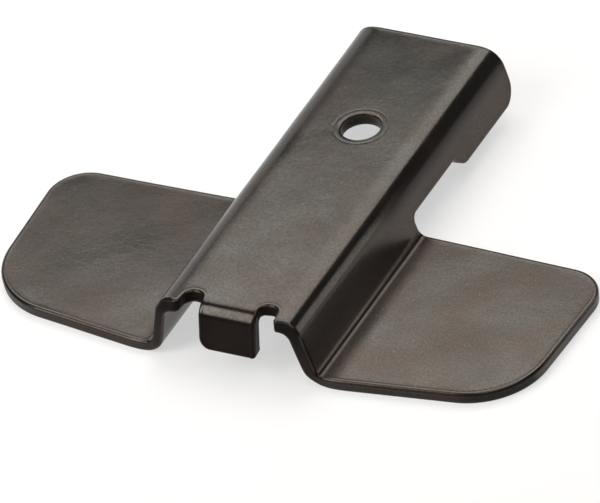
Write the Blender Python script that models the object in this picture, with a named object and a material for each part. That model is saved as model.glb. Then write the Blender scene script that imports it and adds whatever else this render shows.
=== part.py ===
"""Mulch plug: one piece of pressed steel sheet, painted black.

The sheet is drawn first as a flat blank and then folded. On the blank, u runs across from the
centreline, v runs back from the front ends of the side walls, and h is the height above the
middle of the sheet. The folds make a flat plate with a wall down each side, a flat wing that
turns out from the front part of each wall, and a short tab at the front of the plate.
+X runs across the wings, +Y towards the far end, and the wings lie on Z = 0.
"""

import math

import bmesh
import bpy

# Sizes of the sheet and its folds, in metres and degrees
SHEET = 0.0025
PLATE_FLAT_WIDTH = 0.0238
PLATE_RISE = 0.0126  # top of the plate above the top of the wings
CHANNEL_LENGTH = 0.0925
WALL_BEND_ANGLE = 76.5
TOP_BEND_RADIUS = 0.0048  # outside of the bend
ROOT_BEND_RADIUS = 0.0020  # inside of the bend

# Wings, seen from above
WING_SPAN = 0.1234  # across both wings, half way along their outer edges
WING_DEPTH = 0.0476
WING_FRONT_SWEEP = 7.6
WING_BACK_SWEEP = 1.5
WING_SIDE_SPLAY = 2.5
WING_FRONT_CORNER = 0.0170
WING_BACK_CORNER = 0.0083
WING_SWEEP_START = 0.0030  # from the root bend to where the front edge sweeps back
WING_SWEEP_EASING = 0.0300  # radius of the front edge there

# Side walls, measured down from the end of the top bend
WALL_SHALLOW = 0.0048
WALL_DEEP = 0.0080
WALL_STEP_START = 0.0664
WALL_STEP_RUN = 0.0032
WALL_STEP_INNER_CORNER = 0.0008
WALL_STEP_OUTER_CORNER = 0.0025
WALL_END_CORNER = 0.0035
WING_ROOT_FILLET = 0.0016

# Front tab and the relief notch on each side of it
TAB_WIDTH = 0.0128
TAB_BEND_LINE = 0.0032  # where the tab starts to turn down
TAB_BEND_ANGLE = 76.0
TAB_BEND_RADIUS = 0.0037  # outside of the bend
TAB_FLAT_LENGTH = 0.0068
TAB_ROUND_CORNER = 0.0025
TAB_TIGHT_CORNER = 0.0006
NOTCH_WIDTH = 0.0039
NOTCH_DEPTH = 0.0043
NOTCH_FLARE = 0.0005  # how much further out the notch reaches at its mouth
NOTCH_MOUTH_CORNER = 0.0009

# Bolt hole
HOLE_DIAMETER = 0.0084
HOLE_PLACE = 0.0615  # from the front ends of the walls to the hole's centre
HOLE_ROLL_WIDTH = 0.0010  # the punch draws the top edge down over this width
HOLE_ROLL_DEPTH = 0.0004

# Edges and facets
EDGE_RADIUS = 0.0004
ARC_STEP = 11.0
BEND_FACETS = 9
HOLE_SIDES = 40
EDGE_FACETS = 2
SPLIT_TOLERANCE = 1e-7
SHARP_ANGLE = 30.0

# Coated steel
COAT_COLOUR = (0.030, 0.028, 0.027, 1.0)
COAT_ROUGHNESS = 0.35

HALF_SHEET = SHEET / 2
PLATE_HALF = PLATE_FLAT_WIDTH / 2
WALL_BEND = math.radians(WALL_BEND_ANGLE)
TAB_BEND = math.radians(TAB_BEND_ANGLE)
TOP_MID_RADIUS = TOP_BEND_RADIUS - HALF_SHEET
ROOT_MID_RADIUS = ROOT_BEND_RADIUS + HALF_SHEET
TAB_MID_RADIUS = TAB_BEND_RADIUS - HALF_SHEET

# Both bends of a wall together use up this much of the rise, and the wall's flat has the rest
BENDS_RISE = (TOP_BEND_RADIUS + ROOT_BEND_RADIUS) * (1 - math.cos(WALL_BEND))
WALL_FLAT = (PLATE_RISE - BENDS_RISE) / math.sin(WALL_BEND)

# Places across the blank where each fold starts and ends
U_WALL = PLATE_HALF + TOP_MID_RADIUS * WALL_BEND
U_ROOT = U_WALL + WALL_FLAT
U_WING = U_ROOT + ROOT_MID_RADIUS * WALL_BEND

# The same places on the folded part, at the middle of the sheet, above the wings' top
TOP_CENTRE_Z = PLATE_RISE - TOP_BEND_RADIUS
WALL_X = PLATE_HALF + TOP_MID_RADIUS * math.sin(WALL_BEND)
WALL_Z = TOP_CENTRE_Z + TOP_MID_RADIUS * math.cos(WALL_BEND)
WING_X = WALL_X + WALL_FLAT * math.cos(WALL_BEND) + ROOT_MID_RADIUS * math.sin(WALL_BEND)

# The tab on the blank
TAB_HALF = TAB_WIDTH / 2
TAB_BEND_RUN = TAB_MID_RADIUS * TAB_BEND
TAB_END = TAB_BEND_LINE - TAB_BEND_RUN - TAB_FLAT_LENGTH
NOTCH_MIDDLE = TAB_HALF + NOTCH_WIDTH / 2


def crossing(point_a, angle_a, point_b, angle_b):
    """The point where two lines meet, each given by a point on it and its angle."""
    ax, ay = math.cos(angle_a), math.sin(angle_a)
    bx, by = math.cos(angle_b), math.sin(angle_b)
    across = (point_b[0] - point_a[0]) * by - (point_b[1] - point_a[1]) * bx
    reach = across / (ax * by - ay * bx)
    return point_a[0] + reach * ax, point_a[1] + reach * ay


def wing_corners():
    """The front and back outer corners of the right wing on the blank, before rounding."""
    front = math.radians(WING_FRONT_SWEEP)
    back = -math.radians(WING_BACK_SWEEP)
    side = math.radians(90 - WING_SIDE_SPLAY)
    side_middle = (U_WING + WING_SPAN / 2 - WING_X, WING_DEPTH / 2)
    front_corner = crossing((U_WING + WING_SWEEP_START, 0.0), front, side_middle, side)
    back_corner = crossing((U_WING, WING_DEPTH), back, side_middle, side)
    return front_corner, back_corner


def right_half():
    """Corners (u, v, radius) of the blank's right half, from the notch round to the far end."""
    front_corner, back_corner = wing_corners()
    notch_outer = TAB_HALF + NOTCH_WIDTH
    notch_round = NOTCH_WIDTH / 2
    shallow = U_WALL + WALL_SHALLOW
    deep = U_WALL + WALL_DEEP
    return [
        (TAB_HALF, NOTCH_DEPTH, notch_round),
        (notch_outer, NOTCH_DEPTH, notch_round),
        (notch_outer + NOTCH_FLARE, 0.0, NOTCH_MOUTH_CORNER),
        (U_WING + WING_SWEEP_START, 0.0, WING_SWEEP_EASING),
        (*front_corner, WING_FRONT_CORNER),
        (*back_corner, WING_BACK_CORNER),
        (shallow, WING_DEPTH, WING_ROOT_FILLET),
        (shallow, WALL_STEP_START, WALL_STEP_INNER_CORNER),
        (deep, WALL_STEP_START + WALL_STEP_RUN, WALL_STEP_OUTER_CORNER),
        (deep, CHANNEL_LENGTH, WALL_END_CORNER),
    ]


def blank_corners():
    """Corners of the whole blank, anticlockwise from the tab's right end."""
    right = right_half()
    left = [(-u, v, radius) for u, v, radius in reversed(right)]
    tab_right = [(TAB_HALF, TAB_END, TAB_TIGHT_CORNER)]
    tab_left = [(-TAB_HALF, TAB_END, TAB_ROUND_CORNER)]
    return tab_right + right + left + tab_left


def rounded(corners):
    """Points of a closed outline whose corners are arcs. An arc is limited by its two sides."""
    points = []
    count = len(corners)
    for index, (u, v, radius) in enumerate(corners):
        before = corners[index - 1]
        after = corners[(index + 1) % count]
        length_in = math.hypot(u - before[0], v - before[1])
        length_out = math.hypot(after[0] - u, after[1] - v)
        in_angle = math.atan2(v - before[1], u - before[0])
        out_angle = math.atan2(after[1] - v, after[0] - u)
        turn = (out_angle - in_angle + math.pi) % (2 * math.pi) - math.pi
        side = 1 if turn > 0 else -1
        tangent = min(radius * math.tan(abs(turn) / 2), length_in / 2, length_out / 2)
        bend = tangent / math.tan(abs(turn) / 2)
        start_u = u - tangent * math.cos(in_angle)
        start_v = v - tangent * math.sin(in_angle)
        centre_u = start_u - side * bend * math.sin(in_angle)
        centre_v = start_v + side * bend * math.cos(in_angle)
        steps = max(2, math.ceil(abs(math.degrees(turn)) / ARC_STEP))
        for step in range(steps + 1):
            angle = in_angle + turn * step / steps
            points.append(
                (centre_u + side * bend * math.sin(angle), centre_v - side * bend * math.cos(angle))
            )
    return without_doubles(points)


def without_doubles(points):
    """The closed outline with points that repeat the one before them left out."""
    kept = []
    for index, point in enumerate(points):
        if math.dist(point, points[index - 1]) > SPLIT_TOLERANCE:
            kept.append(point)
    return kept


def inset(points, amount):
    """The closed outline moved to its left, into the sheet, by one amount."""
    moved = []
    count = len(points)
    for index, (u, v) in enumerate(points):
        before = points[index - 1]
        after = points[(index + 1) % count]
        angle_in = math.atan2(v - before[1], u - before[0])
        angle_out = math.atan2(after[1] - v, after[0] - u)
        half_turn = ((angle_out - angle_in + math.pi) % (2 * math.pi) - math.pi) / 2
        normal = angle_in + half_turn + math.pi / 2
        reach = amount / math.cos(half_turn)
        moved.append((u + reach * math.cos(normal), v + reach * math.sin(normal)))
    return moved


def quarter_round(width, depth):
    """Steps (inset, height) of a rounded edge, from the flat face down to the cut side."""
    steps = []
    for index in range(EDGE_FACETS + 1):
        angle = math.pi / 2 * index / EDGE_FACETS
        steps.append((width * (1 - math.sin(angle)), HALF_SHEET - depth * (1 - math.cos(angle))))
    return steps


def edge_profile(width, depth):
    """The cut edge's steps from the top face to the bottom face."""
    top = quarter_round(width, depth)
    bottom = quarter_round(EDGE_RADIUS, EDGE_RADIUS)
    return top + [(amount, -height) for amount, height in reversed(bottom)]


def add_rim(mesh, points, profile):
    """A cut edge all round one outline. It returns the edges of its top and bottom rings."""
    rings = []
    for amount, height in profile:
        rings.append([mesh.verts.new((u, v, height)) for u, v in inset(points, amount)])
    count = len(points)
    for upper, lower in zip(rings, rings[1:]):
        for index in range(count):
            following = (index + 1) % count
            mesh.faces.new((upper[index], lower[index], lower[following], upper[following]))
    top = [mesh.edges.get((rings[0][i], rings[0][(i + 1) % count])) for i in range(count)]
    bottom = [mesh.edges.get((rings[-1][i], rings[-1][(i + 1) % count])) for i in range(count)]
    return top, bottom


def hole_outline():
    """The bolt hole's points, clockwise, so that the sheet lies to the left."""
    radius = HOLE_DIAMETER / 2
    points = []
    for index in range(HOLE_SIDES):
        angle = -2 * math.pi * index / HOLE_SIDES
        points.append((radius * math.cos(angle), HOLE_PLACE + radius * math.sin(angle)))
    return points


def flat_blank(mesh):
    """The flat sheet with its rounded edges and its hole."""
    outer = add_rim(mesh, rounded(blank_corners()), edge_profile(EDGE_RADIUS, EDGE_RADIUS))
    hole = add_rim(mesh, hole_outline(), edge_profile(HOLE_ROLL_WIDTH, HOLE_ROLL_DEPTH))
    for outer_ring, hole_ring, way in ((outer[0], hole[0], 1.0), (outer[1], hole[1], -1.0)):
        bmesh.ops.triangle_fill(
            mesh, use_beauty=True, edges=outer_ring + hole_ring, normal=(0.0, 0.0, way)
        )


def split_faces(mesh, faces, place, normal):
    """Cuts the faces along one fold line, so that they can bend there."""
    edges = {edge for face in faces for edge in face.edges}
    verts = {vert for face in faces for vert in face.verts}
    bmesh.ops.bisect_plane(
        mesh,
        geom=list(verts) + list(edges) + list(faces),
        dist=SPLIT_TOLERANCE,
        plane_co=place,
        plane_no=normal,
    )


def split_along_walls(mesh):
    """Cuts the blank at each facet of the four bends that run along the channel."""
    for start, end in ((PLATE_HALF, U_WALL), (U_ROOT, U_WING)):
        for index in range(BEND_FACETS + 1):
            place = start + (end - start) * index / BEND_FACETS
            for side in (-1, 1):
                split_faces(mesh, mesh.faces[:], (side * place, 0.0, 0.0), (1.0, 0.0, 0.0))


def split_across_tab(mesh):
    """Cuts the tab at each facet of its own bend, between the two notches."""
    for index in range(BEND_FACETS + 1):
        place = TAB_BEND_LINE - TAB_BEND_RUN * index / BEND_FACETS
        limit = PLATE_HALF if index == 0 else NOTCH_MIDDLE
        back = NOTCH_DEPTH if index else CHANNEL_LENGTH
        faces = [
            face
            for face in mesh.faces
            if all(
                abs(vert.co.x) < limit + SPLIT_TOLERANCE and vert.co.y < back
                for vert in face.verts
            )
        ]
        split_faces(mesh, faces, (0.0, place, 0.0), (0.0, 1.0, 0.0))


def fold_tab(v, h):
    """Y and Z of a point of the tab: round its bend, then straight on."""
    angle = min((TAB_BEND_LINE - v) / TAB_MID_RADIUS, TAB_BEND)
    straight = TAB_BEND_LINE - v - TAB_MID_RADIUS * angle
    radius = TAB_MID_RADIUS + h
    y = TAB_BEND_LINE - radius * math.sin(angle) - straight * math.cos(angle)
    z = PLATE_RISE - TAB_BEND_RADIUS + radius * math.cos(angle) - straight * math.sin(angle)
    return y, z


def fold_across(u, h):
    """X and Z of a point at distance u from the centreline: plate, bend, wall, bend, wing."""
    if u <= PLATE_HALF:
        return u, PLATE_RISE - HALF_SHEET + h
    if u <= U_WALL:
        angle = (u - PLATE_HALF) / TOP_MID_RADIUS
        radius = TOP_MID_RADIUS + h
        return PLATE_HALF + radius * math.sin(angle), TOP_CENTRE_Z + radius * math.cos(angle)
    if u <= U_ROOT:
        down = u - U_WALL
        x = WALL_X + down * math.cos(WALL_BEND) + h * math.sin(WALL_BEND)
        return x, WALL_Z - down * math.sin(WALL_BEND) + h * math.cos(WALL_BEND)
    if u <= U_WING:
        angle = (U_WING - u) / ROOT_MID_RADIUS
        radius = ROOT_MID_RADIUS - h
        return WING_X - radius * math.sin(angle), ROOT_BEND_RADIUS - radius * math.cos(angle)
    return WING_X + u - U_WING, h - HALF_SHEET


def fold(mesh):
    """Moves every point of the blank to its place on the folded part, wings down on Z = 0."""
    for vert in mesh.verts:
        u, v, h = vert.co
        if v < TAB_BEND_LINE and abs(u) < NOTCH_MIDDLE:
            y, z = fold_tab(v, h)
            vert.co = (u, y, z + SHEET)
        else:
            x, z = fold_across(abs(u), h)
            vert.co = (math.copysign(x, u), v, z + SHEET)


def centre_on_length(mesh):
    """Puts the origin half way along the part, so that it is the bottom centre of its box."""
    along = [vert.co.y for vert in mesh.verts]
    middle = (min(along) + max(along)) / 2
    for vert in mesh.verts:
        vert.co.y -= middle


def coated_steel():
    """Black paint on steel."""
    material = bpy.data.materials.new("black_coated_steel")
    material.use_nodes = True
    shader = material.node_tree.nodes["Principled BSDF"]
    shader.inputs["Base Color"].default_value = COAT_COLOUR
    shader.inputs["Roughness"].default_value = COAT_ROUGHNESS
    shader.inputs["Metallic"].default_value = 0.0
    return material


def mulch_plug():
    """The folded sheet as one object."""
    mesh = bmesh.new()
    flat_blank(mesh)
    split_along_walls(mesh)
    split_across_tab(mesh)
    fold(mesh)
    centre_on_length(mesh)
    bmesh.ops.recalc_face_normals(mesh, faces=mesh.faces[:])
    data = bpy.data.meshes.new("mulch_plug")
    mesh.to_mesh(data)
    mesh.free()
    data.materials.append(coated_steel())
    data.shade_smooth()
    data.set_sharp_from_angle(angle=math.radians(SHARP_ANGLE))
    plug = bpy.data.objects.new("mulch_plug", data)
    bpy.context.scene.collection.objects.link(plug)
    return plug


def main():
    for old in list(bpy.data.objects):
        bpy.data.objects.remove(old, do_unlink=True)
    mulch_plug()


main()
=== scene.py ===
"""Looks of the mulch plug: one folded sheet of steel with a black coat, on a pale floor.

The sheet is worked out as a flat blank and then folded. On the blank, u runs across from the
centreline, v runs back from the front ends of the walls, and h is the height above the middle of
the sheet. Lengths are in metres and angles in radians unless a name says degrees.
"""

import math

import bpy
import numpy as np
from bpy.props import FloatProperty, FloatVectorProperty, PointerProperty
from mathutils import Matrix, Vector
from mathutils.geometry import delaunay_2d_cdt


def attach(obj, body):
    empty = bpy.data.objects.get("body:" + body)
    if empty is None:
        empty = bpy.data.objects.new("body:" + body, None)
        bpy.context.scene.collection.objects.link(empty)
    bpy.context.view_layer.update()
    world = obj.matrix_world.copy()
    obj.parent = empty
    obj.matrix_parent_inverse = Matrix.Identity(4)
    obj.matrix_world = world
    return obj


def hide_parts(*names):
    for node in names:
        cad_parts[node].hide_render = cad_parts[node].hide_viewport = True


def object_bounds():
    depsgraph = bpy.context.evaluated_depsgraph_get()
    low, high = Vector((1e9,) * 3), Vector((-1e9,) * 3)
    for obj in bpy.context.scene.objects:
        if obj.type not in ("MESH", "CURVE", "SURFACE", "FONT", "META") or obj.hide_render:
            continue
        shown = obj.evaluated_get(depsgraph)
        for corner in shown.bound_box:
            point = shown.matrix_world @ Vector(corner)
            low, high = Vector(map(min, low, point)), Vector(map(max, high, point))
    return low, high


bl_info = {
    "name": "Mulch Plug",
    "version": (1, 0, 0),
    "blender": (4, 5, 0),
    "location": "View3D > Sidebar > Mulch Plug",
    "description": "Builds a folded steel mulch plug with its black coat and a studio for it",
    "category": "Object",
}

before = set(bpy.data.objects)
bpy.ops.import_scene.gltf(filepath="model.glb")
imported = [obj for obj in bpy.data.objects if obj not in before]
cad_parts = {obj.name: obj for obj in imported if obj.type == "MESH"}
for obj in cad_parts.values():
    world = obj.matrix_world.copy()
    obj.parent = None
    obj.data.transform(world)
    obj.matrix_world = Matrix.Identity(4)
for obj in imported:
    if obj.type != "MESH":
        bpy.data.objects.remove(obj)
CAD_LOW, CAD_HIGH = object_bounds()
NODE = "mulch_plug"

VIEW_TARGET = (-0.0038, -0.00843, 0.00108)  # the point that the camera looks at
LAMP_WATTS = 4.0  # energy of a lamp for each square metre and each unit of brightness

# The lamps: azimuth, elevation and distance of each, its two sides, its brightness and its tint.
# They are a broad panel behind, a pale backdrop low on the left, a small card low on the right, a
# soft box in front on the left and a high fill.
LAMPS = {
    "back_panel": (-156, 58.3, 0.50, (0.48, 0.367), 3.0, (1.0, 0.95, 0.90)),
    "left_backdrop": (-136, 15, 0.60, (0.35, 0.30), 0.85, (1.0, 0.97, 0.95)),
    "side_card": (117, 17, 0.13, (0.036, 0.060), 1.8, (1.0, 0.96, 0.93)),
    "front_box": (-36, 35.5, 0.75, (0.36, 0.66), 4.5, (1.0, 0.97, 0.94)),
    "high_fill": (60, 68, 1.10, (0.80, 0.60), 1.6, (1.0, 0.99, 0.98)),
}
BAND = 0.05, 0.16  # heights on the unit sphere between which the pale band ends
FLOOR_SIDES, FLOOR_CLOUDS, FLOOR_DARKEST = 96, 9.0, 0.985

# Slow waves in the sheet: share, waves across and waves along in a channel's length, and phase.
WAVES = (
    (1.0, 0.9, 0.3, 0.4),
    (0.6, -1.7, 1.3, 1.9),
    (0.35, 2.6, 2.9, 4.1),
    (0.2, 5.3, -4.7, 0.7),
)

# Painted shade in the coat's reflections, from 0 to 1: on plain cuts, on the wings' outer cuts, on
# the cut round the right wing's front corner, beside a wing's root, on the walls in front and under
# the top bends. It darkens reflections of surroundings in shade, and it makes the cuts rougher.
SHADE_CUT, SHADE_OUTER_CUT, SHADE_CORNER_CUT = 0.35, 0.02, 0.65
SHADE_ROOT, SHADE_WALL, SHADE_BEND_FOOT = 0.55, 0.50, 0.70

# Painted reflection tint, from 0 to 1: how warm the reflections are made in front on the plate,
# on each wing and on cuts, standing in for warm surroundings mirrored there.
WARM_PLATE, WARM_RIGHT_WING, WARM_LEFT_WING, WARM_CUT = 0.25, 0.42, 0.30, 0.70

# Noise patterns in the coat: features a metre, then octaves and their roughness where they differ
# from the usual ones.
CLOUDS, DRIFT, PATCHES = (70.0, 4.0, 0.55), (45.0, 2.0), (95.0, 4.0)
FLECKS, GRAIN = (1100.0,), (2000.0, 2.0, 0.7)
PEEL, PEEL_DEPTH = (1300.0, 2.0), 0.000009
RIPPLE, RIPPLE_DEPTH = (260.0, 2.0), 0.000022

# Dust specks: cells a metre, and a speck's largest radius and soft edge in cells.
SPECK_CELLS, SPECK_RADIUS, SPECK_EDGE = 230.0, 0.034, 0.014
MOST = 0.3, 0.7  # the range that most of a noise's values lie in


def length(name, description, default):
    """A property that holds a length."""
    return FloatProperty(
        name=name, description=description, default=default, precision=5, unit="LENGTH"
    )


def angle(name, description, degrees):
    """A property that holds an angle, whose default is given in degrees."""
    return FloatProperty(
        name=name, description=description, default=math.radians(degrees), subtype="ANGLE"
    )


def level(name, description, default):
    """A property that holds a plain number."""
    return FloatProperty(name=name, description=description, default=default, precision=4)


def colour(name, description, default):
    """A property that holds a colour."""
    return FloatVectorProperty(
        name=name, description=description, default=default, size=3, min=0, max=4, subtype="COLOR"
    )


class ChannelSizes(bpy.types.PropertyGroup):
    """Sizes of the sheet, the plate and the side walls."""

    sheet: length("Sheet", "Thickness of the steel with its coat", 0.0025)
    plate_width: length("Plate width", "Flat part of the plate between its bends", 0.0238)
    plate_rise: length("Plate rise", "Top of the plate above the top of the wings", 0.0126)
    channel_length: length("Channel length", "From the walls' front ends to the far end", 0.0925)
    wall_bend: angle("Wall bend", "How far each wall is bent down", 76.5)
    top_bend_radius: length("Top bend radius", "Outside of the bend beside the plate", 0.0048)
    root_bend_radius: length("Root bend radius", "Inside of the bend at a wing's root", 0.00185)
    root_thinning: length("Root thinning", "How much the bend at a root thinned the sheet", 0.0005)
    wall_shallow: length("Shallow wall", "Flat of the wall just behind a wing", 0.0048)
    wall_deep: length("Deep wall", "Flat of the wall at the far end", 0.0080)
    step_start: length("Step start", "Where the wall starts to get deeper", 0.0664)
    step_run: length("Step run", "Length of the slanted step", 0.0032)
    step_inner_corner: length("Step inner corner", "Radius at the top of the step", 0.0008)
    step_outer_corner: length("Step outer corner", "Radius at the foot of the step", 0.0025)
    end_corner: length("End corner", "Radius of the wall's far lower corner", 0.0045)
    hole_diameter: length("Hole diameter", "Bolt hole", 0.0084)
    hole_place: length("Hole place", "From the walls' front ends to the hole's centre", 0.0617)
    hole_offset: length("Hole offset", "From the centreline to the hole's centre", -0.0002)
    hole_roll_width: length("Hole roll width", "Width over which the punch drew the edge", 0.0007)
    hole_roll_depth: length("Hole roll depth", "How far the punch drew the edge down", 0.00022)
    hole_burr: length("Hole burr", "How far the hole's lower edge hangs below the sheet", 0.0003)
    hole_draw: length("Hole draw", "How much the hole narrows towards its lower side", 0.00010)
    hole_ring: length("Hole ring", "Radius of the punch's mark round the hole", 0.0056)
    hole_ring_depth: length("Hole ring depth", "Depth of that mark", 0.000012)
    end_skew: length("End skew", "How much longer the right side is than the left", 0.0005)


class WingSizes(bpy.types.PropertyGroup):
    """Sizes of the two wings, seen from above."""

    span: length("Span", "Across both wings, half way along their outer edges", 0.1234)
    left_reach: length("Left reach", "How much further the left wing reaches", 0.00013)
    depth: length("Depth", "From the walls' front ends to a wing's back edge", 0.0476)
    front_sweep: angle("Front sweep", "How much the front edge runs back", 7.6)
    back_sweep: angle("Back sweep", "How much the back edge runs forward", 1.5)
    side_splay: angle("Side splay", "How much the outer edge leans out behind", 2.5)
    right_corner: length("Right corner", "Radius of the right wing's front corner", 0.0159)
    left_corner: length("Left corner", "Radius of the left wing's front corner", 0.0174)
    back_corner: length("Back corner", "Radius of the back outer corner", 0.0083)
    sweep_start: length("Sweep start", "From the root bend to where it runs back", 0.0030)
    sweep_easing: length("Sweep easing", "Radius of the front edge there", 0.0300)
    root_fillet: length("Root fillet", "Radius between a wing's back edge and the wall", 0.0016)


class TabSizes(bpy.types.PropertyGroup):
    """Sizes of the front tab and the relief notches beside it."""

    width: length("Tab width", "Across the tab", 0.0128)
    bend_line: length("Bend line", "Where the tab starts to turn down", 0.0032)
    bend: angle("Bend", "How far the tab is bent down", 76.0)
    bend_radius: length("Bend radius", "Outside of the tab's bend", 0.0037)
    flat: length("Flat", "Flat part of the tab after its bend", 0.0070)
    round_corner: length("Round corner", "Radius of the tab's left lower corner", 0.0025)
    tight_corner: length("Tight corner", "Radius of the tab's right lower corner", 0.0008)
    end_slant: length("End slant", "How far the tab's end is cut back on its inner face", 0.0008)
    notch_width: length("Notch width", "Across a relief notch", 0.0039)
    notch_depth: length("Notch depth", "How far a notch reaches behind the walls' fronts", 0.0043)
    notch_flare: length("Notch flare", "How much wider a notch is at its mouth", 0.0005)
    right_mouth: length("Right mouth corner", "Radius at the right notch's outer mouth", 0.00085)
    left_mouth: length("Left mouth corner", "Radius at the left notch's outer mouth", 0.0013)
    front_lean: length("Front lean", "How far the cuts in front reach forward underneath", 0.0008)
    right_lean: level("Right lean", "Share of that lean that the right side has", 0.65)
    bend_draw: length("Bend draw", "How far a bend draws back the outside of its front end", 0.0005)


class EdgeSizes(bpy.types.PropertyGroup):
    """Sizes of the cut edges and of the sheet's unevenness."""

    roll: length("Edge roll", "Radius of the upper edge", 0.00042)
    chamfer: level("Edge chamfer", "How much the upper edge is flattened to a slant", 0.5)
    burr: length("Lower edge", "Radius of the lower edge", 0.00025)
    margin: length("Edge margin", "Width of the edge band on the flat faces", 0.0011)
    bead: length("Bead", "Height of the thick line of coat along the edges", 0.000028)
    ridge: length("Ridge", "Height of the coat's ridge on the cut face", 0.00004)
    taper: length("Taper", "How much the cut draws in towards its lower side", 0.00008)
    outline_step: length("Outline step", "Spacing of points along the outline", 0.0003)
    face_step: length("Face step", "Spacing of points on the flat faces", 0.0010)
    bend_step: length("Bend step", "Spacing of points across a bend", 0.0003)
    wave: length("Wave", "Height of the slow waves in the sheet", 0.00003)
    bow: length("Bow", "How far the sheet curves up behind its middle", 0.00013)
    sink: length("Bend sink", "How much the sheet sinks where a top bend starts", 0.00008)
    sink_width: length("Bend sink width", "Half width of that sink", 0.0009)


class CoatColours(bpy.types.PropertyGroup):
    """Colours and gloss of the black coat."""

    black: colour("Black", "Main colour of the coat", (0.0062, 0.0042, 0.0038))
    cool: colour("Cool clouds", "Faint greenish clouds", (0.0048, 0.0060, 0.0050))
    warm: colour("Warm clouds", "Faint brownish clouds", (0.0105, 0.0060, 0.0046))
    dust: colour("Dust", "Fine pale specks", (0.1500, 0.1450, 0.1400))
    # Reflection tints at the cool and warm ends, mixed by random clouds and flecks and by the
    # painted reflection tint by place.
    sheen_cool: colour("Cool reflection", "Reflections in the cool clouds", (0.94, 0.93, 0.87))
    sheen_warm: colour("Warm reflection", "Reflections in the warm clouds", (1.0, 0.75, 0.60))
    # Painted shade: the tint that the reflections turn to where the painted-shade mask is full, so
    # those places reflect little.
    sheen_shaded: colour("Dull reflection", "Reflections where the coat is dull", (0.06, 0.05, 0.045))
    roughness: level("Roughness", "Roughness of the smooth faces", 0.20)
    cut_roughness: level("Cut roughness", "Roughness of the cut edges", 0.34)
    # Roughness added on cuts, weighted by the painted-shade mask.
    shaded_cut_roughness: level("Dull roughness", "Roughness added where a cut is dull", 0.30)
    gloss_index: level("Gloss index", "Index of refraction of the coat", 1.50)


class StageSettings(bpy.types.PropertyGroup):
    """The floor, the lamps and the camera."""

    floor_colour: colour("Floor colour", "The pale floor", (0.86, 0.86, 0.855))
    floor_glow: level("Floor glow", "Share of the floor's look that is plain white", 0.55)
    floor_radius: length("Floor radius", "Radius of the round floor", 4.0)
    horizon: level("Horizon", "Brightness of the pale band round the horizon", 0.35)
    room: level("Room", "Brightness of the dim room above it", 0.10)
    view_azimuth: angle("View azimuth", "Camera's direction, from the front towards +X", 33.169)
    view_elevation: angle("View elevation", "Camera's height above the horizon", 37.792)
    view_roll: angle("View roll", "Camera's turn about its own line of sight", 10.319)
    view_distance: length("View distance", "Camera to the point it looks at", 3.1325)
    lens: level("Lens", "Focal length in millimetres", 930.05)


def smooth(x, start=0.0, run=1.0):
    """A step from 0 at the start to 1 a run further on, with flat ends: 3x² - 2x³, where x is the
    share of the run, held between 0 and 1."""
    x = np.clip((x - start) / run, 0.0, 1.0)
    return x * x * (3 - 2 * x)


def bell(x, middle, width):
    """A bell curve that is 1 at the middle: e to the power of minus the square of the distance
    from the middle in widths."""
    return np.exp(-(((x - middle) / width) ** 2))


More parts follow.
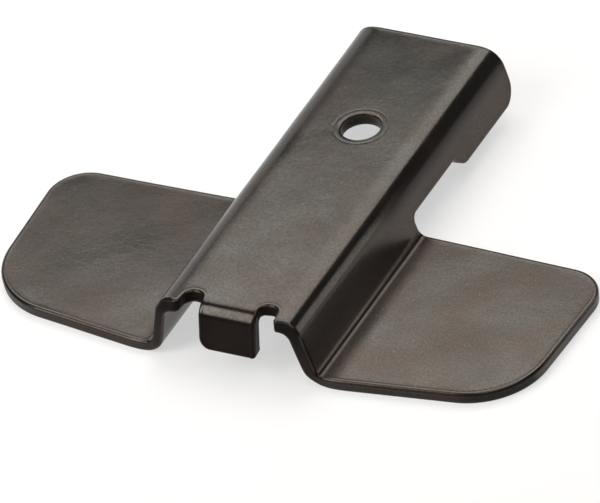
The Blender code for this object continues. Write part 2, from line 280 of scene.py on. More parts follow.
class Folds:
    """Places of the folds, worked out from the sizes, and the map from the blank to the part."""

    def __init__(self, channel, wings, tab):
        self.channel = channel
        self.wings = wings
        self.tab = tab
        self.half = channel.sheet / 2
        self.plate_half = channel.plate_width / 2
        self.top_mid = channel.top_bend_radius - self.half
        self.root_mid = channel.root_bend_radius + self.half
        self.tab_mid = tab.bend_radius - self.half
        bends = (channel.top_bend_radius + channel.root_bend_radius) * (
            1 - math.cos(channel.wall_bend)
        )
        self.wall_flat = (channel.plate_rise - bends) / math.sin(channel.wall_bend)
        self.top_run = self.top_mid * channel.wall_bend
        self.u_wall = self.plate_half + self.top_run
        self.u_root = self.u_wall + self.wall_flat
        self.root_run = self.root_mid * channel.wall_bend
        self.u_wing = self.u_root + self.root_run
        self.top_centre_z = channel.plate_rise - channel.top_bend_radius
        self.wall_x = self.plate_half + self.top_mid * math.sin(channel.wall_bend)
        self.wall_z = self.top_centre_z + self.top_mid * math.cos(channel.wall_bend)
        self.wing_x = (
            self.wall_x
            + self.wall_flat * math.cos(channel.wall_bend)
            + self.root_mid * math.sin(channel.wall_bend)
        )
        self.u_edge = self.u_wing + wings.span / 2 - self.wing_x
        self.tab_half = tab.width / 2
        self.tab_run = self.tab_mid * tab.bend
        self.tab_end = tab.bend_line - self.tab_run - tab.flat
        self.notch_middle = self.tab_half + tab.notch_width / 2

    def down_wall(self, side):
        """How far down the wall a point is: 0 under the top bend, 1 from the root bend on."""
        return smooth(side, self.u_wall, self.wall_flat)

    def past_root(self, side):
        """How far through the root bend a point is: 0 on the wall, 1 on the wing."""
        return smooth(side, self.u_root, self.root_run)

    def across(self, u, h):
        """X and Z of arrays of points across the channel: flat plate, arc down, straight wall,
        arc out, flat wing. An arc is its centre plus its radius times the sine and cosine of the
        distance travelled over the middle radius. A point at height h lies on a radius longer by
        h in the outer bend and shorter by h in the inner one."""
        bend = self.channel.wall_bend
        side = np.abs(u)
        turn = (side - self.plate_half) / self.top_mid
        top = self.top_mid + h
        down = side - self.u_wall
        back = (self.u_wing - side) / self.root_mid
        root = self.root_mid - h
        zones = [side <= self.plate_half, side <= self.u_wall, side <= self.u_root,
                 side <= self.u_wing]
        x = np.select(zones, [
            side,
            self.plate_half + top * np.sin(turn),
            self.wall_x + down * np.cos(bend) + h * np.sin(bend),
            self.wing_x - root * np.sin(back),
        ], self.wing_x + side - self.u_wing)
        z = np.select(zones, [
            self.channel.plate_rise - self.half + h,
            self.top_centre_z + top * np.cos(turn),
            self.wall_z - down * np.sin(bend) + h * np.cos(bend),
            self.channel.root_bend_radius - root * np.cos(back),
        ], h - self.half)
        return np.copysign(x, u), z

    def along_tab(self, v, h):
        """Y and Z of arrays of points on the tab: an arc about an axis under the plate, then
        straight on down, with the same rule for h as in the bends beside the plate."""
        turn = np.minimum((self.tab.bend_line - v) / self.tab_mid, self.tab.bend)
        straight = self.tab.bend_line - v - self.tab_mid * turn
        radius = self.tab_mid + h
        y = self.tab.bend_line - radius * np.sin(turn) - straight * np.cos(turn)
        z = self.channel.plate_rise - self.tab.bend_radius
        return y, z + radius * np.cos(turn) - straight * np.sin(turn)

    def fold(self, u, v, h):
        """Row positions of blank points, with the far end on the CAD part's far end."""
        x, z = self.across(u, h)
        y = v
        on_tab = (v < self.tab.bend_line) & (np.abs(u) < self.notch_middle)
        tab_y, tab_z = self.along_tab(v, h)
        x = np.where(on_tab, u, x)
        y = np.where(on_tab, tab_y, y)
        z = np.where(on_tab, tab_z, z)
        ahead = CAD_HIGH.y - self.channel.channel_length
        return np.stack([x, y + ahead, z + self.channel.sheet], axis=-1)


def crossing(point_a, angle_a, point_b, angle_b):
    """The point where two lines meet, each given by a point on it and its angle."""
    ax, ay = math.cos(angle_a), math.sin(angle_a)
    bx, by = math.cos(angle_b), math.sin(angle_b)
    across = (point_b[0] - point_a[0]) * by - (point_b[1] - point_a[1]) * bx
    reach = across / (ax * by - ay * bx)
    return point_a[0] + reach * ax, point_a[1] + reach * ay


def blank_corners(folds):
    """Corners (u, v, radius) of the whole blank, anticlockwise from the tab's right end. The left
    side mirrors the right one, apart from the mouth of its notch and its wing's outer corners."""
    channel, wings, tab = folds.channel, folds.wings, folds.tab
    side = math.pi / 2 - wings.side_splay
    side_middle = (folds.u_edge, wings.depth / 2)
    sweep_start = folds.u_wing + wings.sweep_start
    front = crossing((sweep_start, 0.0), wings.front_sweep, side_middle, side)
    back = crossing((folds.u_wing, wings.depth), -wings.back_sweep, side_middle, side)
    notch_outer = folds.tab_half + tab.notch_width
    shallow = folds.u_wall + channel.wall_shallow
    deep = folds.u_wall + channel.wall_deep
    step_end = channel.step_start + channel.step_run
    right = [
        (folds.tab_half, tab.notch_depth, tab.notch_width / 2),
        (notch_outer, tab.notch_depth, tab.notch_width / 2),
        (notch_outer + tab.notch_flare, 0.0, tab.right_mouth),
        (sweep_start, 0.0, wings.sweep_easing),
        (*front, wings.right_corner),
        (*back, wings.back_corner),
        (shallow, wings.depth, wings.root_fillet),
        (shallow, channel.step_start, channel.step_inner_corner),
        (deep, step_end, channel.step_outer_corner),
        (deep, channel.channel_length, channel.end_corner),
    ]
    left = [(-u, v, radius) for u, v, radius in right]
    mouth, wing_front, wing_back = 2, 4, 5
    for k, further, radius in (
        (mouth, 0.0, tab.left_mouth),
        (wing_front, wings.left_reach, wings.left_corner),
        (wing_back, wings.left_reach, wings.back_corner),
    ):
        left[k] = (left[k][0] - further, left[k][1], radius)
    tab_right = (folds.tab_half, folds.tab_end, tab.tight_corner)
    tab_left = (-folds.tab_half, folds.tab_end, tab.round_corner)
    return [tab_right, *right, *reversed(left), tab_left]


def rounded_outline(corners, step):
    """Points and headings of a closed outline, and the radius of the outer corner that each point
    is on, or infinity. Each corner is an arc that touches both its sides, and the straight runs
    between arcs are divided evenly. An arc's tangent length is its radius times the tangent of
    half the turn, and is limited to half of each side."""
    corners = np.array(corners)
    place, radius = corners[:, :2], corners[:, 2]
    side = np.roll(place, -1, axis=0) - place
    run = np.hypot(side[:, 0], side[:, 1])
    heading = np.arctan2(side[:, 1], side[:, 0])
    before = np.roll(heading, 1)
    turn = (heading - before + np.pi) % (2 * np.pi) - np.pi
    half_turn = np.tan(np.abs(turn) / 2)
    tangent = np.minimum(radius * half_turn, np.minimum(run, np.roll(run, 1)) / 2)
    bend = tangent / half_turn
    points, headings, radii = [], [], []
    for k in range(len(corners)):
        way = np.sign(turn[k])
        start = place[k] - tangent[k] * np.array([math.cos(before[k]), math.sin(before[k])])
        centre = start + way * bend[k] * np.array([-math.sin(before[k]), math.cos(before[k])])
        count = max(6, math.ceil(bend[k] * abs(turn[k]) / step))
        arc = before[k] + turn[k] * np.arange(count + 1) / count
        points.append(centre + way * bend[k] * np.stack([np.sin(arc), -np.cos(arc)], axis=-1))
        headings.append(arc)
        radii.append(np.full(count + 1, bend[k] if way > 0 else np.inf))
        following = (k + 1) % len(corners)
        left_over = run[k] - tangent[k] - tangent[following]
        count = max(1, math.ceil(left_over / step))
        along = tangent[k] + left_over * np.arange(1, count) / count
        points.append(place[k] + along[:, None] * side[k] / run[k])
        headings.append(np.full(count - 1, heading[k]))
        radii.append(np.full(count - 1, np.inf))
    points, headings, radii = (np.concatenate(part) for part in (points, headings, radii))
    apart = np.hypot(*(points - np.roll(points, 1, axis=0)).T) > step / 100
    return points[apart], headings[apart], radii[apart]


def room_for(points, radii, margin):
    """Share of the margin that fits beside each point of an outline: the nearest outer corner's
    radius plus the distance to it, over a little more than the margin, and at most 1."""
    tight = radii < 1.2 * margin
    away = np.hypot(*(points[:, None] - points[None, tight]).transpose(2, 0, 1))
    return np.minimum(1, (away + radii[tight]).min(axis=1) / (1.2 * margin))


def hole_outline(folds, step):
    """Points and headings of the bolt hole, a circle run clockwise, so the sheet is on its left."""
    radius = folds.channel.hole_diameter / 2
    count = math.ceil(2 * math.pi * radius / step)
    around = -2 * np.pi * np.arange(count) / count
    circle = radius * np.stack([np.cos(around), np.sin(around)], axis=-1)
    centre = np.array([folds.channel.hole_offset, folds.channel.hole_place])
    return circle + centre, around - np.pi / 2


def edge_profile(folds, edges, roll_width, roll_depth, chamfer, taper, burr_drop):
    """Steps (inset, height) across a cut edge from the top face to the bottom face: a quarter
    ellipse flattened towards its chord, a low ridge, a face that draws in by the taper as it goes
    down, and a small quarter circle that may hang below the sheet. The ridge is half a sine
    wave."""
    quarter = np.linspace(0, np.pi / 2, 8)
    top = folds.half - roll_depth
    slant = quarter / quarter[-1]
    inward = 1 - (1 - chamfer) * np.sin(quarter) - chamfer * slant
    down = (1 - chamfer) * (1 - np.cos(quarter)) + chamfer * slant
    roll = np.stack([roll_width * inward, folds.half - roll_depth * down], axis=-1)
    ridge_run = np.linspace(0, 1, 5)[1:]
    ridge = np.stack([-edges.ridge * np.sin(np.pi * ridge_run),
                      top - edges.roll * ridge_run], axis=-1)
    low = -folds.half - burr_drop + edges.burr
    face_run = np.linspace(0, 1, 5)[1:]
    face = np.stack([taper * smooth(face_run),
                     ridge[-1, 1] + (low - ridge[-1, 1]) * face_run], axis=-1)
    small = np.linspace(0, np.pi / 2, 5)[1:]
    foot = np.stack([taper + edges.burr * (1 - np.cos(small)),
                     low - edges.burr * np.sin(small)], axis=-1)
    return np.concatenate([roll, ridge, face, foot])


def outer_profile(folds, edges):
    """The edge profile of the outline, with a bead of coat on the margin above: a sine squared
    from the margin's inner line to the roll."""
    cut = edge_profile(folds, edges, edges.roll, edges.roll, edges.chamfer, edges.taper, 0.0)
    run = np.linspace(0, 1, 9)[:-1]
    bead = np.stack([
        edges.margin + (edges.roll - edges.margin) * run,
        folds.half + edges.bead * np.sin(np.pi * run) ** 2,
    ], axis=-1)
    return np.concatenate([bead, cut, bead[:1] * np.array([1, -1])])


def hole_profile(folds, edges):
    """The edge profile of the hole, with the punch's mark round it: a groove that is one whole
    cosine wave, five points across, on the flat margin above."""
    channel = folds.channel
    cut = edge_profile(
        folds, edges, channel.hole_roll_width, channel.hole_roll_depth, 0.0,
        -channel.hole_draw, channel.hole_burr,
    )
    across = np.linspace(1, -1, 5)
    mark = channel.hole_ring - channel.hole_diameter / 2
    groove = np.stack([
        mark + 0.4 * edges.outline_step * across,
        folds.half - channel.hole_ring_depth * (1 + np.cos(np.pi * across)) / 2,
    ], axis=-1)
    first = np.array([[mark + 2 * edges.outline_step, folds.half]])
    return np.concatenate([first, groove, cut, first * np.array([1, -1])])


def rim(points, headings, profile, room=1.0):
    """An edge profile carried along an outline: each ring is the outline moved to its left, along
    its normal, by the profile's inset times the room, at the profile's height. It returns the
    blank points of all rings, ring after ring, and the quads between neighbouring rings."""
    normal = np.stack([-np.sin(headings) * room, np.cos(headings) * room], axis=-1)
    place = points[None] + profile[:, None, :1] * normal[None]
    height = np.broadcast_to(profile[:, None, 1:], (*place.shape[:2], 1))
    grid = np.concatenate([place, height], axis=-1)
    count = len(points)
    upper, along = np.meshgrid(np.arange(len(profile) - 1), np.arange(count), indexing="ij")
    first = (upper * count + along).ravel()
    after = (upper * count + (along + 1) % count).ravel()
    return grid.reshape(-1, 3), np.stack([first, first + count, after + count, after], axis=-1)


def stations(places, steps):
    """Numbers from the first place to the last, evenly spaced within each stretch by its step."""
    runs = []
    for start, end, step in zip(places, places[1:], steps):
        count = max(1, round((end - start) / step))
        runs.append(start + (end - start) * np.arange(count) / count)
    return np.concatenate([*runs, places[-1:]])


def face_grid(folds, edges):
    """A grid of blank points, closer together across the bends: every pairing of a u station
    with a v station."""
    half = stations(
        [0.0, folds.plate_half, folds.u_wall, folds.u_root, folds.u_wing,
         folds.u_wing + folds.wings.span / 2],
        [edges.face_step, edges.bend_step, edges.face_step, edges.bend_step, edges.face_step],
    )
    across = np.concatenate([-half[:0:-1], half])
    along = stations(
        [folds.tab_end, folds.tab.bend_line - folds.tab_run, folds.tab.bend_line,
         folds.channel.channel_length],
        [edges.face_step, edges.bend_step, edges.face_step],
    )
    return np.stack(np.meshgrid(across, along, indexing="ij"), axis=-1).reshape(-1, 2)


def inside(points, loop, clearance):
    """Which points lie inside a closed loop and further than a clearance from its corners. A
    point is inside if a ray to its right crosses the loop an odd number of times."""
    start, end = loop, np.roll(loop, -1, axis=0)
    kept = np.zeros(len(points), bool)
    for part in np.array_split(np.arange(len(points)), 1 + len(points) // 500):
        u, v = points[part, :1], points[part, 1:]
        spans = (start[:, 1] > v) != (end[:, 1] > v)
        rise = np.where(end[:, 1] == start[:, 1], 1.0, end[:, 1] - start[:, 1])
        meets = start[:, 0] + (v - start[:, 1]) / rise * (end[:, 0] - start[:, 0])
        odd = (spans & (meets > u)).sum(axis=1) % 2 == 1
        near = np.hypot(start[:, 0] - u, start[:, 1] - v).min(axis=1)
        kept[part] = odd & (near > clearance)
    return kept


def fill_face(outer, hole, grid):
    """Triangles of the flat face between the outer loop and the hole's loop, through the grid's
    points. The points come back in the order outer loop, hole loop, grid."""
    loops = [np.arange(len(outer)), len(outer) + np.arange(len(hole))]
    edges = np.concatenate([np.stack([ring, np.roll(ring, -1)], axis=-1) for ring in loops])
    points = np.concatenate([outer, hole, grid])
    result = delaunay_2d_cdt(
        [Vector(p) for p in points.tolist()], edges.tolist(), [], 1, 1e-9
    )
    made, faces, origins = np.array([tuple(p) for p in result[0]]), np.array(result[2]), result[3]
    if len(made) != len(points):
        raise RuntimeError("the face's triangles need points that its loops don't have")
    names = np.array([origin[0] for origin in origins])
    faces = names[faces]
    middle = points[faces].mean(axis=1)
    return faces[inside(middle, outer, 0.0) & ~inside(middle, hole, 0.0)]


def uneven(folds, edges, u, v):
    """Height of the sheet's unevenness: a sum of four sine waves that cross each other, plus a
    parabola that rises from the middle of the channel's length to its far end, less a bell curve
    across the first degrees of each top bend."""
    reach = folds.channel.channel_length
    total = np.zeros_like(u)
    for share, across, along, phase in WAVES:
        total += share * np.sin(2 * np.pi * (across * u + along * v) / reach + phase)
    bow = edges.bow * np.clip(2 * v / reach - 1, 0, None) ** 2
    sunk = folds.plate_half + folds.top_mid * math.radians(10)
    return edges.wave * total + bow - edges.sink * bell(np.abs(u), sunk, edges.sink_width)


def pressed(folds, u, v, h):
    """Blank points moved as cutting and bending left them.
    The cuts in front lean: they reach forward by the front lean at the bottom of the sheet and by
    nothing at the top, less on the right than on the left. The lean fades out behind the notches,
    a little down the walls and then through the root bends. The top bends draw the upper side of
    their ends back, as a bell curve over the bend. The tab's end is cut back on its inner side,
    fading out towards its bend. The root bends thin the sheet from below, as a bell curve over
    the bend. The far end runs back on the right, growing in a straight line across the channel,
    over the last part of its length, and fading out down the walls."""
    channel, tab, sheet = folds.channel, folds.tab, folds.channel.sheet
    side = np.abs(u)
    down_wall = folds.down_wall(side)
    under = (folds.half - h) / sheet
    fade = 1 - smooth(v, tab.notch_depth, 2 * sheet)
    off_tab = smooth(side, folds.tab_half, sheet / 2)
    lost_on_wall = 0.2
    kept = 1 - lost_on_wall * down_wall - (1 - lost_on_wall) * folds.past_root(side)
    lean = tab.front_lean * under * fade * off_tab * kept * np.where(u > 0, tab.right_lean, 1)
    drawn = folds.plate_half + 0.35 * folds.top_run
    at_front = 1 - smooth(v, 0.0, 2 * sheet)
    draw = tab.bend_draw * bell(side, drawn, sheet / 1.6) * (1 - under) * at_front
    near_end = 1 - smooth(v, folds.tab_end, tab.flat)
    slant = tab.end_slant * under * near_end * (v < 0) * (side < folds.notch_middle)
    over_root = bell(side, folds.u_root + folds.root_run / 2, 0.48 * folds.root_run)
    thinning = channel.root_thinning * under * over_root * (side > folds.u_wall)
    at_far_end = smooth(v / channel.channel_length, 0.7, 0.3)
    to_right = 0.5 + u / (2 * folds.u_root)
    skew = channel.end_skew * at_far_end * to_right * (1 - down_wall)
    return u, v - lean + draw + slant + skew, h + thinning


def painted_shade_places(folds, u, v, h, cut):
    """Painted shade in the coat's reflections, from 0 to 1: the greatest of five shares. It
    darkens the reflections where the surroundings that they mirror lie in shade.
    The cuts across the channel's front are the darkest, fading down the walls and on to the
    wings. Other cuts are a little darkened, more so round the right wing's front corner and
    hardly at all along the wings' outer edges. On the upper side, the tab's face is darkened below
    its bend, and so are the corner between each wall and its wing, where the wall shades it, the
    middle of the walls in front, and the foot of the top bends behind. The last three are placed
    in sheet thicknesses."""
    tab, sheet, side = folds.tab, folds.channel.sheet, np.abs(u)
    on_top = h > 0
    high = 1 - 0.25 * folds.down_wall(side) - 0.40 * folds.past_root(side)
    on_channel = np.where(v < 0.4 * tab.notch_depth, side > folds.notch_middle, 1)
    on_front = on_channel * (1 - smooth(v, tab.notch_depth, sheet))
    on_edge = smooth(side, folds.u_edge - 0.5 * sheet, 0.28 * sheet)
    on_corner = smooth(u, folds.u_edge - 6 * sheet, 2.4 * sheet) * (1 - on_edge)
    plain = SHADE_CUT + (SHADE_OUTER_CUT - SHADE_CUT) * on_edge
    plain = plain + (SHADE_CORNER_CUT - SHADE_CUT) * on_corner
    cuts = cut * np.maximum(high * on_front, plain)
    turned = (tab.bend_line - v) / folds.tab_mid
    below = smooth(turned, math.radians(54), math.radians(10))
    on_tab = (side < folds.notch_middle) * (1 - smooth(side / folds.tab_half, 0.98, 0.02))
    face = below * (1 - cut) * on_tab * on_top
    out = (side - folds.u_wing) / sheet
    root = SHADE_ROOT * smooth(out, -0.42, 0.12) * (1 - smooth(out, -0.1, 0.9)) * on_top
    down = (side - folds.u_wall) / sheet
    behind = smooth(v, 14 * sheet, 3 * sheet)
    wall = SHADE_WALL * bell(down, 1.4, 1.0) * (1 - behind) * on_top
    foot = SHADE_BEND_FOOT * smooth(down, -0.8, 0.5) * (1 - smooth(down, 0.1, 0.5))
    return np.max([cuts, face, root, wall, foot * behind * on_top], axis=0)


def tint_by_place(folds, u, v, cut):
    """Painted reflection tint by place, from 0 to 1: how warm the coat's reflections are made,
    standing in for warm surroundings mirrored there. Warm on the walls and cuts, less so on the
    wings and on the front of the plate, and cool at the far end. It changes over the last part of
    each top bend and the first part of each root bend."""
    side = np.abs(u)
    hole_place = folds.channel.hole_place
    plate = WARM_PLATE * (1 - smooth(v, hole_place / 2, hole_place))
    wing = np.where(u > 0, WARM_RIGHT_WING, WARM_LEFT_WING)
    part = 0.4
    on_wall = smooth(side, folds.u_wall - part * folds.top_run, part * folds.top_run)
    on_wing = smooth(side, folds.u_root, part * folds.root_run)
    reflection_warmth = plate + on_wall * (1.0 - plate) + on_wing * (wing - 1.0)
    return reflection_warmth + cut * np.maximum(WARM_CUT - reflection_warmth, 0)


def placed(name, data):
    """An object with that data, in the scene."""
    made = bpy.data.objects.new(name, data)
    bpy.context.scene.collection.objects.link(made)
    return made


def mesh_piece(name, verts, quads, triangles):
    """A mesh object from arrays of points, quads and triangles, shaded smooth."""
    mesh = bpy.data.meshes.new(name)
    loops = np.concatenate([quads.ravel(), triangles.ravel()])
    sizes = np.concatenate([np.full(len(quads), 4), np.full(len(triangles), 3)])
    mesh.vertices.add(len(verts))
    mesh.vertices.foreach_set("co", verts.astype(np.float32).ravel())
    mesh.loops.add(len(loops))
    mesh.loops.foreach_set("vertex_index", loops.astype(np.int32))
    mesh.polygons.add(len(sizes))
    mesh.polygons.foreach_set("loop_start", (np.cumsum(sizes) - sizes).astype(np.int32))
    mesh.update(calc_edges=True)
    mesh.validate()
    mesh.shade_smooth()
    return placed(name, mesh)


def blank_mesh(folds, edges):
    """Points (u, v, h), quads and triangles of the whole blank: a rim round the outline, a rim
    round the hole, and a top and a bottom face that share one set of triangles."""
    channel = folds.channel
    outline, headings, radii = rounded_outline(blank_corners(folds), edges.outline_step)
    room = room_for(outline, radii, edges.margin)
    outer, outer_quads = rim(outline, headings, outer_profile(folds, edges), room)
    ring, ring_headings = hole_outline(folds, edges.outline_step)
    around_hole = hole_profile(folds, edges)
    hole, hole_quads = rim(ring, ring_headings, around_hole)
    outer_loop, hole_loop = outer[: len(outline), :2], hole[: len(ring), :2]
    grid = face_grid(folds, edges)
    clear = edges.outline_step
    grid = grid[inside(grid, outer_loop, clear)]
    from_hole = np.hypot(grid[:, 0] - channel.hole_offset, grid[:, 1] - channel.hole_place)
    grid = grid[from_hole > channel.hole_diameter / 2 + around_hole[0, 0] + clear]
    triangles = fill_face(outer_loop, hole_loop, grid)
    level_height = np.full((len(grid), 1), folds.half)
    blank = np.concatenate([
        outer, hole, np.hstack([grid, level_height]), np.hstack([grid, -level_height])
    ])
    base = np.cumsum([0, len(outer), len(hole), len(grid)])
    top_names = np.concatenate([
        np.arange(len(outline)), base[1] + np.arange(len(ring)), base[2] + np.arange(len(grid))
    ])
    bottom_names = np.concatenate([
        base[1] - len(outline) + np.arange(len(outline)),
        base[2] - len(ring) + np.arange(len(ring)),
        base[3] + np.arange(len(grid)),
    ])
    quads = np.concatenate([outer_quads, hole_quads + base[1]])
    faces = np.concatenate([top_names[triangles], bottom_names[triangles][:, ::-1]])
    return blank, quads, faces


def folded_sheet(folds, edges):
    """The blank pressed, folded and set down with its lowest point at height 0. Each point
    carries how much it is on a cut, how much painted shade and how much painted warmth its
    coat's reflections get, and its place on the blank."""
    blank, quads, faces = blank_mesh(folds, edges)
    u, v, h = blank.T
    cut = 1 - smooth(np.abs(h) / folds.half, 0.55, 0.45)
    new_u, new_v, new_h = pressed(folds, u, v, h)
    verts = folds.fold(new_u, new_v, new_h + uneven(folds, edges, new_u, new_v))
    verts[:, 2] -= verts[:, 2].min()
    piece = mesh_piece(NODE + "_sheet", verts, quads, faces)
    looks = {
        "cut": cut,
        "painted_shade": painted_shade_places(folds, u, v, h, cut),
        "reflection_warmth": tint_by_place(folds, u, v, cut),
    }
    for name, values in looks.items():
        attribute = piece.data.attributes.new(name, "FLOAT", "POINT")
        attribute.data.foreach_set("value", values.astype(np.float32))
    uv = piece.data.uv_layers.new(name="blank")
    corner = np.zeros(len(piece.data.loops), np.int32)
    piece.data.loops.foreach_get("vertex_index", corner)
    uv.data.foreach_set("uv", blank[corner, :2].astype(np.float32).ravel())
    return piece


class Nodes:
    """Short calls that add shader nodes to one tree and link them."""

    def __init__(self, tree):
        self.tree = tree

    def put(self, socket, value):
        """Give a socket a value, or link another node's output to it."""
        if isinstance(value, bpy.types.NodeSocket):
            self.tree.links.new(value, socket)
        else:
            socket.default_value = value

    def add(self, kind, inputs=(), **settings):
        """A node of one kind, with its settings, and its inputs given by name as values or as
        other nodes' outputs."""
        node = self.tree.nodes.new(kind)
        for name, value in settings.items():
            setattr(node, name, value)
        for name, value in dict(inputs).items():
            self.put(node.inputs[name], value)
        return node

    def noise(self, vector, scale, detail=3.0, roughness=0.5):
        """The number of a noise texture with features about 1/scale metres wide."""
        return self.add("ShaderNodeTexNoise", {
            "Vector": vector, "Scale": scale, "Detail": detail, "Roughness": roughness,
        }).outputs["Fac"]

    def spread(self, value, low, high, to_low=0.0, to_high=1.0):
        """A number between low and high mapped smoothly to another range."""
        return self.add("ShaderNodeMapRange", {
            "Value": value, "From Min": low, "From Max": high, "To Min": to_low, "To Max": to_high,
        }, interpolation_type="SMOOTHSTEP").outputs["Result"]

    def calc(self, a, b, operation="ADD"):
        """Two numbers added, or joined by another operation."""
        node = self.add("ShaderNodeMath", {}, operation=operation)
        for socket, value in zip(node.inputs, (a, b)):
            self.put(socket, value)
        return node.outputs["Value"]

    def blend(self, factor, a, b):
        """Colour a turning into colour b as the factor goes from 0 to 1."""
        node = self.add("ShaderNodeMix", {}, data_type="RGBA")
        first, second, result = node.inputs[6], node.inputs[7], node.outputs[2]
        for socket, value in ((node.inputs["Factor"], factor), (first, a), (second, b)):
            self.put(socket, value)
        return result

    def bump(self, height, distance, normal=None):
        """A surface normal tilted by a height map of that depth in metres."""
        inputs = {"Height": height, "Distance": distance, "Strength": 1.0}
        if normal is not None:
            inputs["Normal"] = normal
        return self.add("ShaderNodeBump", inputs).outputs["Normal"]


def black_coat(coat):
    """The black coat: warm black with faint clouds, dust specks and a fine orange-peel surface.
    Its reflections are tinted from cool to warm with a fine grain, in random clouds and in a
    painted reflection tint by place. The cut edges are rougher. Painted shade makes the
    reflections darker where the surroundings that they mirror lie in shade, and those places are
    rougher still where they are cuts."""
    material = bpy.data.materials.new("black_coat")
    material.use_nodes = True
    tree = material.node_tree
    shader = tree.nodes["Principled BSDF"].inputs
    make = Nodes(tree)
    place = make.add("ShaderNodeTexCoord").outputs["Object"]
    blank = make.add("ShaderNodeUVMap", uv_map="blank").outputs["UV"]
    cut, painted_shade, reflection_warmth = (
        make.add("ShaderNodeAttribute", attribute_name=name).outputs["Fac"]
        for name in ("cut", "painted_shade", "reflection_warmth")
    )
    clouds = make.noise(place, *CLOUDS)
    tone = make.blend(make.spread(clouds, 0.45, 0.70), (*coat.black, 1), (*coat.warm, 1))
    drift = make.spread(make.noise(place, *DRIFT), 0.48, 0.72)
    tone = make.blend(drift, tone, (*coat.cool, 1))
    nearest = make.add("ShaderNodeTexVoronoi", {"Vector": blank, "Scale": SPECK_CELLS},
                       voronoi_dimensions="2D")
    size = make.add("ShaderNodeSeparateColor", {"Color": nearest.outputs["Color"]}).outputs["Red"]
    size = make.spread(size, 0.55, 1.0, 0.0, SPECK_RADIUS)
    specks = make.calc(size, nearest.outputs["Distance"], "SUBTRACT")
    specks = make.spread(specks, 0.0, SPECK_EDGE)
    off_cut = make.calc(0.4, make.calc(cut, 0.4, "MULTIPLY"), "SUBTRACT")
    tone = make.blend(make.calc(specks, off_cut, "MULTIPLY"), tone, (*coat.dust, 1))
    make.put(shader["Base Color"], tone)
    rough = make.spread(clouds, *MOST, coat.roughness - 0.03, coat.roughness + 0.04)
    rough = make.calc(rough, make.calc(cut, coat.cut_roughness - coat.roughness, "MULTIPLY"))
    # Cuts get rougher where the painted-shade mask is high.
    shaded_cut = make.calc(make.calc(cut, painted_shade, "MULTIPLY"), coat.shaded_cut_roughness, "MULTIPLY")
    make.put(shader["Roughness"], make.calc(rough, shaded_cut))
    peel = make.bump(make.noise(place, *PEEL), PEEL_DEPTH)
    make.put(shader["Normal"], make.bump(make.noise(place, *RIPPLE), RIPPLE_DEPTH, peel))
    make.put(shader["IOR"], coat.gloss_index)
    # Painted reflection tint by place, with random clouds and flecks added to it.
    reflection_warmth = make.calc(reflection_warmth, make.spread(clouds, *MOST, -0.26, 0.26))
    reflection_warmth = make.calc(reflection_warmth, make.spread(make.noise(place, *FLECKS), *MOST, -0.16, 0.16))
    film = make.blend(reflection_warmth, (*coat.sheen_cool, 1), (*coat.sheen_warm, 1))
    patchy = make.spread(make.noise(place, *PATCHES), *MOST, 0.90, 1.06)
    grain = make.spread(make.noise(place, *GRAIN), 0.36, 0.64, 0.80, 1.20)
    shade = make.calc(patchy, grain, "MULTIPLY")
    film = make.add("ShaderNodeVectorMath", {"Vector": film, "Scale": shade}, operation="SCALE")
    # Painted shade: the reflections darken towards the shaded tint where the mask is high.
    film = make.blend(painted_shade, film.outputs["Vector"], (*coat.sheen_shaded, 1))
    make.put(shader["Specular Tint"], film)
    return material


class MULCHPLUG_OT_sheet(bpy.types.Operator):
    """Build the folded sheet in place of the plain part and give it its black coat"""

    bl_idname = "mulch_plug.sheet"
    bl_label = "Folded sheet"

    def execute(self, context):
        scene = context.scene
        folds = Folds(scene.plug_channel, scene.plug_wings, scene.plug_tab)
        piece = folded_sheet(folds, scene.plug_edges)
        piece.data.materials.append(black_coat(scene.plug_coat))
        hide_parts(NODE)
        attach(piece, "root")
        return {"FINISHED"}


def toward(azimuth, elevation):
    """The direction to a thing seen at an azimuth, from the front towards +X, and a height above
    the horizon."""
    return Vector((
        math.sin(azimuth) * math.cos(elevation),
        -math.cos(azimuth) * math.cos(elevation),
        math.sin(elevation),
    ))


def soft_lamp(name, target, azimuth, elevation, distance, sides, brightness, tint):
    """A rectangular lamp that faces the target, given in degrees and metres. The camera doesn't
    see it. Its energy is its brightness times its area."""
    data = bpy.data.lights.new(name, "AREA")
    data.shape = "RECTANGLE"
    data.size, data.size_y = sides
    data.color = tint
    data.energy = brightness * sides[0] * sides[1] * LAMP_WATTS
    lamp = placed(name, data)
    way = toward(math.radians(azimuth), math.radians(elevation))
    lamp.location = target + way * distance
    lamp.rotation_euler = way.to_track_quat("Z", "Y").to_euler()
    lamp.visible_camera = False


def dim_room(stage):
    """The world: a pale band round the horizon under a dim room, with a soft step between."""
    world = bpy.data.worlds.new("room")
    world.use_nodes = True
    tree = world.node_tree
    make = Nodes(tree)
    place = make.add("ShaderNodeTexCoord").outputs["Generated"]
    height = make.add("ShaderNodeSeparateXYZ", {"Vector": place}).outputs["Z"]
    strength = make.spread(height, *BAND, stage.horizon, stage.room)
    make.put(tree.nodes["Background"].inputs["Strength"], strength)
    make.put(tree.nodes["Background"].inputs["Color"], (1.0, 1.0, 1.0, 1.0))
    bpy.context.scene.world = world


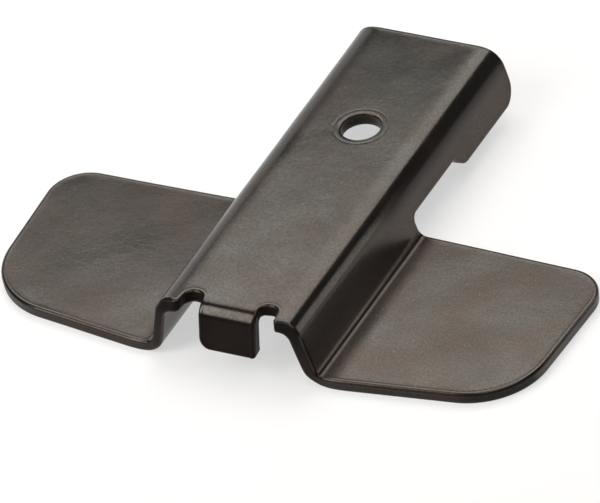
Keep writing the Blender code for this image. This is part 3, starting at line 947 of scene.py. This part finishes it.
def pale_floor(stage):
    """A round floor under the part: one ring of points round the middle, filled as one polygon.
    The camera and reflections see it partly as plain white."""
    around = 2 * np.pi * np.arange(FLOOR_SIDES) / FLOOR_SIDES
    ring = stage.floor_radius * np.stack([np.cos(around), np.sin(around), 0 * around], axis=-1)
    mesh = bpy.data.meshes.new("floor")
    mesh.from_pydata(ring.tolist(), [], [list(range(FLOOR_SIDES))])
    material = bpy.data.materials.new("pale_floor")
    material.use_nodes = True
    tree = material.node_tree
    shader = tree.nodes["Principled BSDF"]
    make = Nodes(tree)
    place = make.add("ShaderNodeTexCoord").outputs["Object"]
    tone = make.spread(make.noise(place, FLOOR_CLOUDS), *MOST)
    shade = [FLOOR_DARKEST * part for part in stage.floor_colour]
    tone = make.blend(tone, (*shade, 1), (*stage.floor_colour, 1))
    make.put(shader.inputs["Base Color"], tone)
    make.put(shader.inputs["Roughness"], 0.9)
    make.put(shader.inputs["IOR"], 1.2)
    path = make.add("ShaderNodeLightPath").outputs
    seen = make.calc(path["Is Camera Ray"], path["Is Glossy Ray"], "MAXIMUM")
    seen = make.calc(seen, path["Is Transmission Ray"], "MAXIMUM")
    glow = make.add("ShaderNodeEmission", {"Strength": 1.0, "Color": (1.0, 1.0, 1.0, 1.0)})
    mixer = make.add("ShaderNodeMixShader")
    make.put(mixer.inputs[0], make.calc(seen, stage.floor_glow, "MULTIPLY"))
    make.put(mixer.inputs[1], shader.outputs[0])
    make.put(mixer.inputs[2], glow.outputs[0])
    make.put(tree.nodes["Material Output"].inputs["Surface"], mixer.outputs[0])
    mesh.materials.append(material)
    placed("floor", mesh)


def photo_camera(stage, target):
    """A long lens that looks at the target along the photograph's line of sight."""
    data = bpy.data.cameras.new("camera")
    data.lens = stage.lens
    data.clip_start, data.clip_end = 0.1, 20.0
    camera = placed("camera", data)
    back = toward(stage.view_azimuth, stage.view_elevation)
    level_right = Vector((math.cos(stage.view_azimuth), math.sin(stage.view_azimuth), 0.0))
    upright = back.cross(level_right)
    right = math.cos(stage.view_roll) * level_right - math.sin(stage.view_roll) * upright
    up = back.cross(right)
    camera.matrix_world = (
        Matrix.Translation(target + back * stage.view_distance)
        @ Matrix((right, up, back)).transposed().to_4x4()
    )
    bpy.context.scene.camera = camera


class MULCHPLUG_OT_stage(bpy.types.Operator):
    """Build the pale floor, the soft lamps, the room and the camera"""

    bl_idname = "mulch_plug.stage"
    bl_label = "Stage"

    def execute(self, context):
        stage = context.scene.plug_stage
        pale_floor(stage)
        dim_room(stage)
        middle = Vector((0.0, 0.0, (CAD_LOW.z + CAD_HIGH.z) / 2))
        for name, lamp in LAMPS.items():
            soft_lamp(name, middle, *lamp)
        photo_camera(stage, Vector(VIEW_TARGET))
        context.scene.view_settings.view_transform = "Standard"
        return {"FINISHED"}


class MULCHPLUG_PT_panel(bpy.types.Panel):
    """Sizes and colours of the mulch plug and the buttons that build it"""

    bl_idname = "MULCHPLUG_PT_panel"
    bl_label = "Mulch Plug"
    bl_space_type = "VIEW_3D"
    bl_region_type = "UI"
    bl_category = "Mulch Plug"

    def draw(self, context):
        for operator in OPERATORS:
            self.layout.operator(operator.bl_idname)
        for name, group in GROUPS.items():
            box = self.layout.box()
            box.label(text=group.__doc__)
            for field in group.__annotations__:
                box.prop(getattr(context.scene, name), field)


GROUPS = {
    "plug_channel": ChannelSizes,
    "plug_wings": WingSizes,
    "plug_tab": TabSizes,
    "plug_edges": EdgeSizes,
    "plug_coat": CoatColours,
    "plug_stage": StageSettings,
}
OPERATORS = (MULCHPLUG_OT_sheet, MULCHPLUG_OT_stage)


def register():
    """Register the settings, the operators and the panel."""
    for name, group in GROUPS.items():
        bpy.utils.register_class(group)
        setattr(bpy.types.Scene, name, PointerProperty(type=group))
    for operator in OPERATORS:
        bpy.utils.register_class(operator)
    bpy.utils.register_class(MULCHPLUG_PT_panel)


def unregister():
    """Take them away again, last first."""
    bpy.utils.unregister_class(MULCHPLUG_PT_panel)
    for operator in reversed(OPERATORS):
        bpy.utils.unregister_class(operator)
    for name, group in reversed(GROUPS.items()):
        delattr(bpy.types.Scene, name)
        bpy.utils.unregister_class(group)


def main():
    register()
    bpy.ops.mulch_plug.sheet()
    bpy.ops.mulch_plug.stage()


if __name__ == "__main__":
    main()
